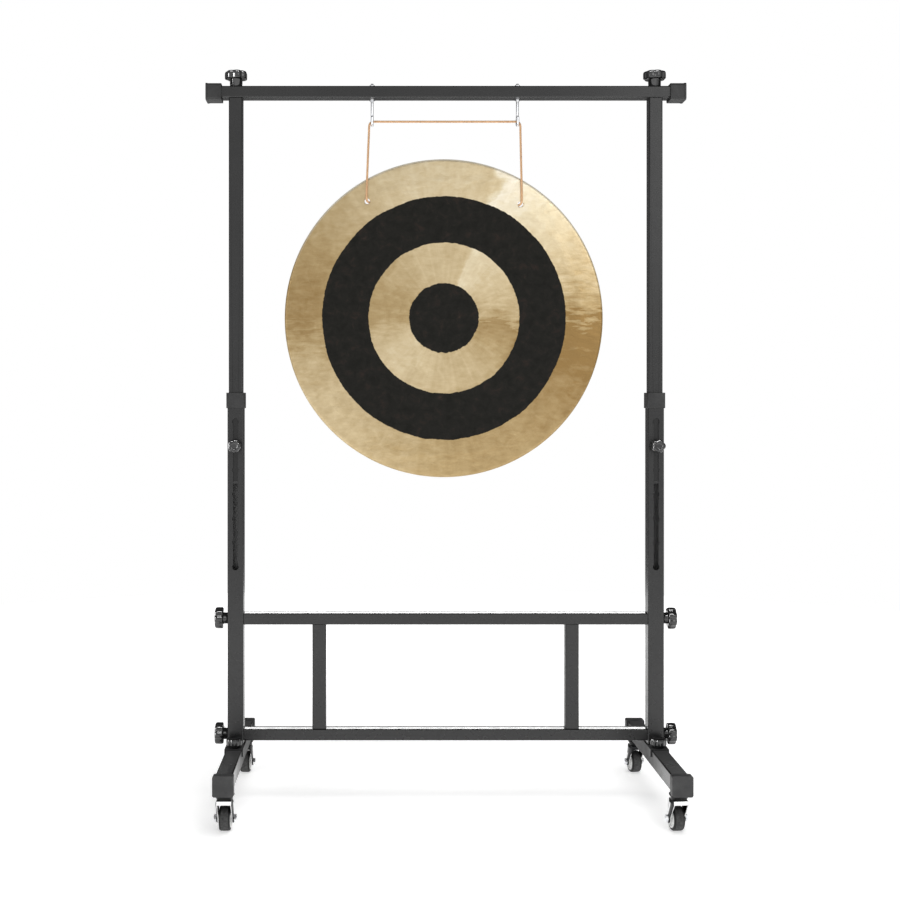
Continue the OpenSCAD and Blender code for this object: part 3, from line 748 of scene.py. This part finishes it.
def hole_cutter(x, front_y, z):
    """A pin along Y, a little wider at both faces of the sheet, so that the hole's edges are broken."""
    sections = [(-0.004, 1.10), (-0.0002, 1.07), (0.0004, 1.0)]
    sections += [(0.0026, 1.0), (0.0034, 1.07), (0.009, 1.10)]
    sides = 48
    points = []
    for y, grow in sections:
        for k in range(sides):
            a = math.tau * k / sides
            r = GONG_HOLE_RADIUS * grow
            points.append(Vector((x + r * math.cos(a), front_y + y, z + r * math.sin(a))))
    faces = grid_faces(len(sections), sides)
    faces.append(tuple(reversed(range(sides))))
    faces.append(tuple((len(sections) - 1) * sides + k for k in range(sides)))
    cutter = link_mesh("hole_cutter", points, faces, bpy.data.materials[0])
    cutter.data.flip_normals()
    return cutter


def bake_modifiers(made):
    """Applies a piece's modifiers to its mesh."""
    graph = bpy.context.evaluated_depsgraph_get()
    mesh = bpy.data.meshes.new_from_object(made.evaluated_get(graph))
    made.modifiers.clear()
    made.data = mesh


# ---------------------------------------------------------------- knobs

THREAD_PITCH = 0.00125
STUD_RADIUS = 0.004


def lobed_radius(head_radius, lobes, angle):
    """The star outline: broad round lobes with narrow, rounded valleys between them."""
    valley = head_radius * 0.2
    wave = math.cos(lobes * angle / 2) ** 2
    soft = 0.03
    lift = ((wave + soft) / (1 + soft)) ** 0.3
    return head_radius - valley * (1 - lift)


def make_knob(node, head_diameter, head_height, neck_diameter, neck_height, stud_length, lobes, materials):
    """A lobed hand knob on its stud, standing for the CAD node of the same name."""
    joint = JOINTS[node + "_turn"]
    place = towards(joint["axis"], joint["pos_m"])
    head_radius, neck_radius = head_diameter / 2, neck_diameter / 2
    top = neck_height + head_height
    columns = lobes * 16
    # Each row: height, how far in from the star outline, and how much it is a circle.
    rows = [
        (neck_height, head_radius - neck_radius, 1.0),
        (neck_height, head_radius * 0.34, 0.8),
        (neck_height + 0.0004, 0.0026, 0.0),
        (neck_height + 0.0012, 0.0010, 0.0),
        (neck_height + 0.0028, 0.0001, 0.0),
        (neck_height + head_height * 0.5, 0.0, 0.0),
        (top - 0.0042, 0.0002, 0.0),
        (top - 0.0022, 0.0009, 0.0),
        (top - 0.0009, 0.0022, 0.0),
        (top - 0.0001, 0.0045, 0.15),
        (top, head_radius * 0.38, 1.0),
        (top, head_radius * 0.46, 1.0),
        (top - 0.0011, head_radius * 0.52, 1.0),
        (top - 0.0013, head_radius * 0.75, 1.0),
    ]
    points = []
    for height, inset, round_share in rows:
        for c in range(columns):
            a = math.tau * c / columns
            star = lobed_radius(head_radius, lobes, a)
            r = star + (head_radius - star) * round_share - inset
            points.append(place @ Vector((r * math.cos(a), r * math.sin(a), height)))
    faces = grid_faces(len(rows), columns)
    points.append(place @ Vector((0, 0, top - 0.0013)))
    tip, last = len(points) - 1, (len(rows) - 1) * columns
    faces += [(last + c, last + (c + 1) % columns, tip) for c in range(columns)]
    head = link_mesh(node + "_head", points, faces, materials["gloss"], sharp=48, closed=True)

    neck_rows = [
        (neck_radius + 0.0012, neck_height),
        (neck_radius, neck_height - 0.0014),
        (neck_radius * 0.97, 0.0010),
        (neck_radius * 0.97 - 0.0008, 0.0),
    ]
    neck = lathe(node + "_neck", neck_rows, 48, place, materials["gloss"])
    stud = make_stud(node + "_stud", stud_length, place, materials["zinc"])
    knob = join([head, neck, stud], node + "_moulded")
    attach(knob, node + "_body")
    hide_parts(node)


def make_stud(name, length, place, material):
    """A threaded stud running down from z = 0."""
    rows = [(STUD_RADIUS, 0.0)]
    z = -THREAD_PITCH
    while z > THREAD_PITCH * 2 - length:
        rows.append((STUD_RADIUS - 0.0002, z + THREAD_PITCH * 0.5))
        rows.append((STUD_RADIUS, z))
        z -= THREAD_PITCH
    rows.append((STUD_RADIUS, 0.001 - length))
    rows.append((STUD_RADIUS - 0.001, -length))
    rows.append((0.00001, -length))
    return lathe(name, rows, 24, place, material)


def lathe(name, rows, columns, place, material, sharp=40):
    """A turned shape from rows of radius and height, given from top to bottom."""
    points = [
        place @ Vector((r * math.cos(math.tau * c / columns), r * math.sin(math.tau * c / columns), z))
        for r, z in rows
        for c in range(columns)
    ]
    faces = [tuple(reversed(f)) for f in grid_faces(len(rows), columns)]
    return link_mesh(name, points, faces, material, sharp, closed=True)


def make_knobs(materials):
    for side in ("left", "right"):
        make_knob(f"top_knob_{side}", 0.050, 0.018, 0.028, 0.017, 0.044, 7, materials)
        make_knob(f"slot_knob_{side}", 0.030, 0.0185, 0.018, 0.015, 0.012, 5, materials)
        make_knob(f"side_knob_upper_{side}", 0.048, 0.0185, 0.025, 0.010, 0.055, 7, materials)
        make_knob(f"side_knob_lower_{side}", 0.048, 0.0185, 0.025, 0.010, 0.055, 7, materials)
        make_knob(f"foot_knob_{side}", 0.035, 0.017, 0.024, 0.005, 0.020, 9, materials)


# ---------------------------------------------------------------- casters

CASTERS = ("front_left", "front_right", "rear_left", "rear_right")
CASTER_TRAIL = 0.018
AXLE_HEIGHT = 0.025
FORK_TOP = 0.068
FORK_FRONT, FORK_REAR = -0.014, 0.018
FORK_INNER = 0.0129
FORK_SHEET = 0.0027
FORK_EYE = 0.010
# The columns of an arm's outside that lie beside its swollen middle; they carry a painted dark reflection.
FORK_FLANK_COLUMNS = (4, 5, 6, 7, 11, 12, 13, 14)
# Half of the tread's section: radius and distance from the wheel's middle, from the mould line outwards.
TREAD_SECTION = (
    (0.02512, 0.0), (0.02500, 0.0007), (0.02499, 0.0045), (0.02480, 0.0076), (0.02430, 0.0094),
    (0.02340, 0.0107), (0.02220, 0.0114), (0.02080, 0.0114), (0.01990, 0.0108), (0.01890, 0.0104),
)
TREAD_BAND_ROWS = 4  # how many of those points are in the worn band
# Half of the wheel centre's section, from the rim to the bore.
HUB_SECTION = (
    (0.0190, 0.0100), (0.0190, 0.0117), (0.0185, 0.0122), (0.0166, 0.0122), (0.0160, 0.0117),
    (0.0154, 0.0096), (0.0146, 0.0090), (0.0082, 0.0090), (0.0074, 0.0097), (0.0070, 0.0121),
    (0.0065, 0.0126), (0.0042, 0.0126),
)
# The swivel housing with its king pin below and its stem above: radius and height above the floor.
HOUSING_SECTION = (
    (0.0001, 0.108), (0.0042, 0.108), (0.0050, 0.107), (0.0050, 0.0852), (0.0133, 0.0849),
    (0.0135, 0.0812), (0.0186, 0.0810), (0.0200, 0.0804), (0.0205, 0.0792), (0.0203, 0.0776),
    (0.0188, 0.0758), (0.0170, 0.0722), (0.0162, 0.0698), (0.0158, 0.0686), (0.0150, 0.0683),
    (0.0040, 0.0682), (0.0040, 0.0652), (0.0062, 0.0651), (0.0065, 0.0645), (0.0063, 0.0628),
    (0.0048, 0.0622), (0.0001, 0.0621),
)


def caster_place(caster):
    """The matrix from a caster's own frame, in which the wheel trails along +X, to the stand's."""
    pin = Vector(JOINTS[f"caster_{caster}_turn"]["pos_m"])
    axle = Vector(JOINTS[f"caster_{caster}_roll"]["pos_m"])
    heading = math.atan2(axle.y - pin.y, axle.x - pin.x)
    return Matrix.Translation((pin.x, pin.y, 0)) @ Matrix.Rotation(heading, 4, "Z")


def soft_block(name, low, high, radius, place, material):
    """A block with rounded edges between two corners of the caster's own frame."""
    mesh = bpy.data.meshes.new(name)
    shape = bmesh.new()
    bmesh.ops.create_cube(shape, size=1)
    middle, size = (Vector(low) + Vector(high)) / 2, Vector(high) - Vector(low)
    for vertex in shape.verts:
        vertex.co = middle + Vector(a * b for a, b in zip(vertex.co, size))
    bmesh.ops.bevel(shape, geom=list(shape.edges), offset=radius, segments=4, profile=0.5, affect="EDGES")
    bmesh.ops.transform(shape, matrix=place, verts=shape.verts)
    shape.to_mesh(mesh)
    shape.free()
    mesh.shade_smooth()
    mesh.set_sharp_from_angle(angle=math.radians(50))
    mesh.materials.append(material)
    made = bpy.data.objects.new(name, mesh)
    bpy.context.scene.collection.objects.link(made)
    return made


def fork_arm_width(z):
    """Where an arm of the fork starts and ends along the trail at a height."""
    shoulder, eye_top = FORK_TOP - 0.0095, AXLE_HEIGHT + 0.003
    if z <= eye_top:
        half = math.sqrt(max(FORK_EYE**2 - (z - AXLE_HEIGHT) ** 2, 0.0))
        return CASTER_TRAIL - half, CASTER_TRAIL + half
    t = min(1.0, (z - eye_top) / (shoulder - eye_top))
    near = CASTER_TRAIL - 0.0096
    far = CASTER_TRAIL + 0.0096
    return near + (FORK_FRONT - near) * t, far + (FORK_REAR + 0.001 - far) * t


def fork_arm(name, side, place, materials):
    """One pressed arm: a rolled front edge, a flat inside and an outside that swells in the middle."""
    arm_top = FORK_TOP - 0.001
    levels = [arm_top - 0.0011 * i for i in range(39)]
    levels += [AXLE_HEIGHT - FORK_EYE * math.sin(math.radians(a)) for a in range(4, 88, 7)]
    outside = 12
    points, columns = [], outside + 6
    for z in levels:
        front, rear = fork_arm_width(z)
        width = rear - front
        roll = min(0.0012, width * 0.25)
        top = min(1.0, max(0.0, (arm_top - z) / 0.004))
        swell = 0.0030 * top * min(1.0, width / 0.012)
        ring = [(front + roll * 0.5, 0.0), (front + roll * 0.1, 0.0005)]
        ring += [(front, 0.0013), (front + roll * 0.2, 0.0021)]
        for i in range(outside):
            t = i / (outside - 1)
            bulge = math.sin(math.pi * t) ** 0.7 if 0 < t < 1 else 0.0
            ring.append((front + roll + (width - 2 * roll) * t, FORK_SHEET + swell * bulge))
        ring += [(rear, 0.0013), (rear - roll * 0.5, 0.0)]
        points += [place @ Vector((x, side * (FORK_INNER + y), z)) for x, y in ring]
    faces = grid_faces(len(levels), columns)
    faces.append(tuple(reversed(range(columns))))
    faces.append(tuple((len(levels) - 1) * columns + c for c in range(columns)))
    arm = link_mesh(name, points, faces, materials["chrome"], sharp=55, closed=True)
    # The flank columns take a dark, dull copy of the chrome: a painted dark reflection.
    arm.data.materials.append(materials["chrome_flank"])
    ends_from = (len(levels) - 1) * columns
    for face in arm.data.polygons:
        if face.index < ends_from and face.index % columns in FORK_FLANK_COLUMNS:
            face.material_index = 1
    return arm


def make_fork(caster, materials):
    """The chromed fork: plate, front wall with rounded shoulders, and two arms."""
    material = materials["chrome"]
    place = caster_place(caster)
    outer = FORK_INNER + FORK_SHEET
    name = f"caster_fork_{caster}"
    plate_low, wall_low = FORK_TOP - 0.0025, FORK_TOP - 0.009
    plate = (FORK_FRONT, -outer, plate_low), (FORK_REAR, outer, FORK_TOP)
    wall = (FORK_FRONT, -outer, wall_low), (FORK_FRONT + 0.0026, outer, FORK_TOP)
    parts = [
        soft_block(name + "_plate", *plate, 0.0011, place, material),
        soft_block(name + "_wall", *wall, 0.0012, place, material),
        fork_arm(name + "_arm_a", -1, place, materials),
        fork_arm(name + "_arm_b", 1, place, materials),
    ]
    fork = join(parts, name + "_pressed")
    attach(fork, f"caster_{caster}_swivel")
    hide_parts(name)


def ring_of(section):
    """A closed section from half of it, for a ring that is the same on both sides of its middle."""
    rows = [(r, h) for r, h in reversed(section)]
    rows += [(r, -h) for r, h in section if h > 0]
    return rows + rows[:1]


def make_wheel(caster, materials):
    """The tyre, with its mould line and rounded shoulders, and the pale dished centre."""
    joint = JOINTS[f"caster_{caster}_roll"]
    place = towards(joint["axis"], joint["pos_m"])
    columns, first_band = 96, len(TREAD_SECTION) - TREAD_BAND_ROWS
    after_band = first_band + 2 * TREAD_BAND_ROWS - 2
    section, rubber = ring_of(TREAD_SECTION), materials["shoulder"]
    tyre = lathe(f"caster_tyre_{caster}_tread", section, columns, place, rubber, 50)
    tyre.data.materials.append(materials["tread"])
    for face in tyre.data.polygons:
        if first_band <= face.index // columns < after_band:
            face.material_index = 1
    section, nylon = ring_of(HUB_SECTION), materials["hub"]
    hub = lathe(f"caster_hub_{caster}_centre", section, 72, place, nylon, 50)
    for piece, node, slot in ((tyre, "tyre", "tread_rubber"), (hub, "hub", "wheel_hub")):
        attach(piece, f"caster_{caster}_wheel")
        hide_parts(f"caster_{node}_{caster}")


def make_casters(materials):
    housings = []
    for caster in CASTERS:
        make_fork(caster, materials)
        make_wheel(caster, materials)
        place = caster_place(caster)
        housings.append(lathe(f"housing_{caster}", HOUSING_SECTION, 64, place, materials["housing"]))
    housing = join(housings, "caster_housings")
    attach(housing, "root")
    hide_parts("caster_stems")


# ---------------------------------------------------------------- floor and light


def make_floor():
    """A pale round floor, wide enough for every view, that glows to white towards its edge."""
    radius, sides = 3.4, 96
    angles = [math.tau * i / sides for i in range(sides)]
    points = [(radius * math.cos(a), radius * math.sin(a), 0) for a in angles]
    mesh = bpy.data.meshes.new("floor")
    mesh.from_pydata(points, [], [tuple(range(sides))])
    floor = bpy.data.objects.new("floor", mesh)
    bpy.context.scene.collection.objects.link(floor)
    s = Shader("floor_white", Roughness=0.9, Specular_IOR_Level=0.1, Emission_Strength=1.0)
    patches = s.noise(s.place(), 3, 2)
    away = s.node("VectorMath", {0: s.place()}, operation="LENGTH").outputs["Value"]
    glow = s.ramp(s.spread(away, 0.0, 3.0, 0.0, 1.0), [(0.0, 0.5), (0.2, 0.5), (0.6, 1.0)])
    s.feed(s.surface.inputs["Emission Color"], glow)
    mesh.materials.append(s.finish(s.ramp(patches, [(0.0, 0.86), (1.0, 0.9)])))


def make_world():
    """White to the camera; to everything else a studio, bright in front, dark above and behind."""
    world = bpy.data.worlds.new("studio")
    world.use_nodes = True
    bpy.context.scene.world = world
    tree = world.node_tree
    tree.nodes.clear()

    def node(kind, **settings):
        made = tree.nodes.new("ShaderNode" + kind)
        for key, value in settings.items():
            setattr(made, key, value)
        return made

    def share(value, low, high, to_low, to_high):
        made = node("MapRange", interpolation_type="SMOOTHSTEP")
        tree.links.new(value, made.inputs["Value"])
        numbers = {"From Min": low, "From Max": high, "To Min": to_low, "To Max": to_high}
        for socket, number in numbers.items():
            made.inputs[socket].default_value = number
        return made.outputs["Result"]

    way = node("SeparateXYZ")
    tree.links.new(node("TexCoord").outputs["Generated"], way.inputs["Vector"])
    overhead = share(way.outputs["Z"], 0.35, 0.75, 1.0, 0.04)
    front = share(way.outputs["Y"], 0.2, -0.5, 0.14, 0.9)
    total = node("Math", operation="MULTIPLY")
    tree.links.new(overhead, total.inputs[0])
    tree.links.new(front, total.inputs[1])
    seen, room = node("Background"), node("Background")
    tree.links.new(total.outputs[0], room.inputs["Strength"])
    seen.inputs["Strength"].default_value = 1.0
    for shade in (seen, room):
        shade.inputs["Color"].default_value = (1, 1, 1, 1)
    pick = node("MixShader")
    tree.links.new(node("LightPath").outputs["Is Camera Ray"], pick.inputs[0])
    tree.links.new(room.outputs[0], pick.inputs[1])
    tree.links.new(seen.outputs[0], pick.inputs[2])
    tree.links.new(pick.outputs[0], node("OutputWorld").inputs["Surface"])


def make_lights():
    """Soft boxes at the front right and left, and others that light only the pieces in receivers."""
    # Each box: its place, what it is aimed at, its two sides and its power in watts.
    boxes = {
        "floor_light": ((0.5, -0.4, 3.6), (0, 0, 0), (3.0, 3.0), 100),
        "key_right": ((1.9, -3.4, 2.2), (0, 0, 1.0), (1.5, 1.5), 14),
        "fill_left": ((-2.8, -2.6, 1.5), (0, 0, 0.9), (1.2, 1.2), 8),
        "rail_strip": ((0, 2.2, 0.72), (0, 0, 0.3), (3.2, 0.4), 26),
        "foot_light": ((0, -0.3, 3.0), (0, 0, 0), (2.0, 2.0), 240),
        "knob_side": ((-3.0, -0.9, 1.2), (0, 0, 0.8), (0.6, 2.4), 140),
        "knob_top": ((0, -1.6, 3.2), (0, 0, 0.8), (3.0, 0.4), 130),
    }
    glossy = [piece for piece in bpy.data.objects if piece.name.endswith("_moulded")]
    raised = [piece for piece in glossy if not piece.name.startswith("foot_knob")]
    sidelit = [piece for piece in glossy if not piece.name.startswith("top_knob_right")]
    nodes = frame["nodes"]
    receivers = {
        "foot_light": [nodes[name] for name in nodes if name.startswith(("foot_tube", "foot_saddle"))],
        "knob_side": sidelit,
        "knob_top": raised + [nodes["foot_end_caps"]],
        "floor_light": [bpy.data.objects["floor"]],
        "rail_strip": [nodes["upper_rail"], nodes["lower_rail"]],
    }
    for name, (place, aim, size, power) in boxes.items():
        data = bpy.data.lights.new(name, "AREA")
        data.shape = "RECTANGLE"
        data.size, data.size_y = size
        data.energy = power
        lamp = bpy.data.objects.new(name, data)
        lamp.location = place
        lamp.rotation_euler = (Vector(aim) - Vector(place)).to_track_quat("-Z", "Y").to_euler()
        lamp.visible_camera = False
        lamp.visible_glossy = name != "foot_light"
        bpy.context.scene.collection.objects.link(lamp)
        if name in receivers:
            lit = bpy.data.collections.new("lit_by_" + name)
            for piece in receivers[name]:
                lit.objects.link(piece)
            lamp.light_linking.receiver_collection = lit


# ---------------------------------------------------------------- the scene

bpy.context.scene.view_settings.view_transform = "Standard"
make_camera()
MATERIALS = {
    "powder": powder_coat("powder_coat_charcoal"),
    "rail": powder_coat("powder_coat_rails", (POST_Y + 0.005, POST_Y + 0.009, 0.0, 0.6)),
    "foot": powder_coat("powder_coat_feet", (-0.2, 0.0, -0.1, 0.3)),
    "lower_post": powder_coat("powder_coat_lower_posts", within=(0.0163, 2.0), inner=0.15),
    # Below 0.87 m the upper posts are nearly black: painted shade.
    "upper_post": powder_coat("powder_coat_upper_posts", within=(0.0160, 0.87), inner=0.003),
    "matte": matte_plastic(),
    "gloss": gloss_plastic(),
    "zinc": zinc_plate(),
    "chrome": chrome_plate("chrome_plate", 0.82, 0.95, 1.0),
    # A dark, dull copy of the chrome for the forks' flanks: a painted dark reflection.
    "chrome_flank": chrome_plate("chrome_plate_swage", 0.006, 0.012, 0.0),
    "housing": housing_black(),
    "hub": wheel_hub_pale(),
    "tread": tread_rubber("tread_rubber_worn", (0.022, 0.022, 0.022), (0.085, 0.085, 0.084), 0.5, 0.7),
    "shoulder": tread_rubber("tread_rubber", (0.006, 0.006, 0.006), (0.012, 0.012, 0.012), 0.45, 0.6),
    "bronze": hammered_bronze(),
    "cord": cord_fibre(),
}
finish_nodes(MATERIALS)
make_cord(MATERIALS["cord"])
make_gong(MATERIALS["bronze"])
make_knobs(MATERIALS)
make_casters(MATERIALS)
make_floor()
make_world()
make_lights()
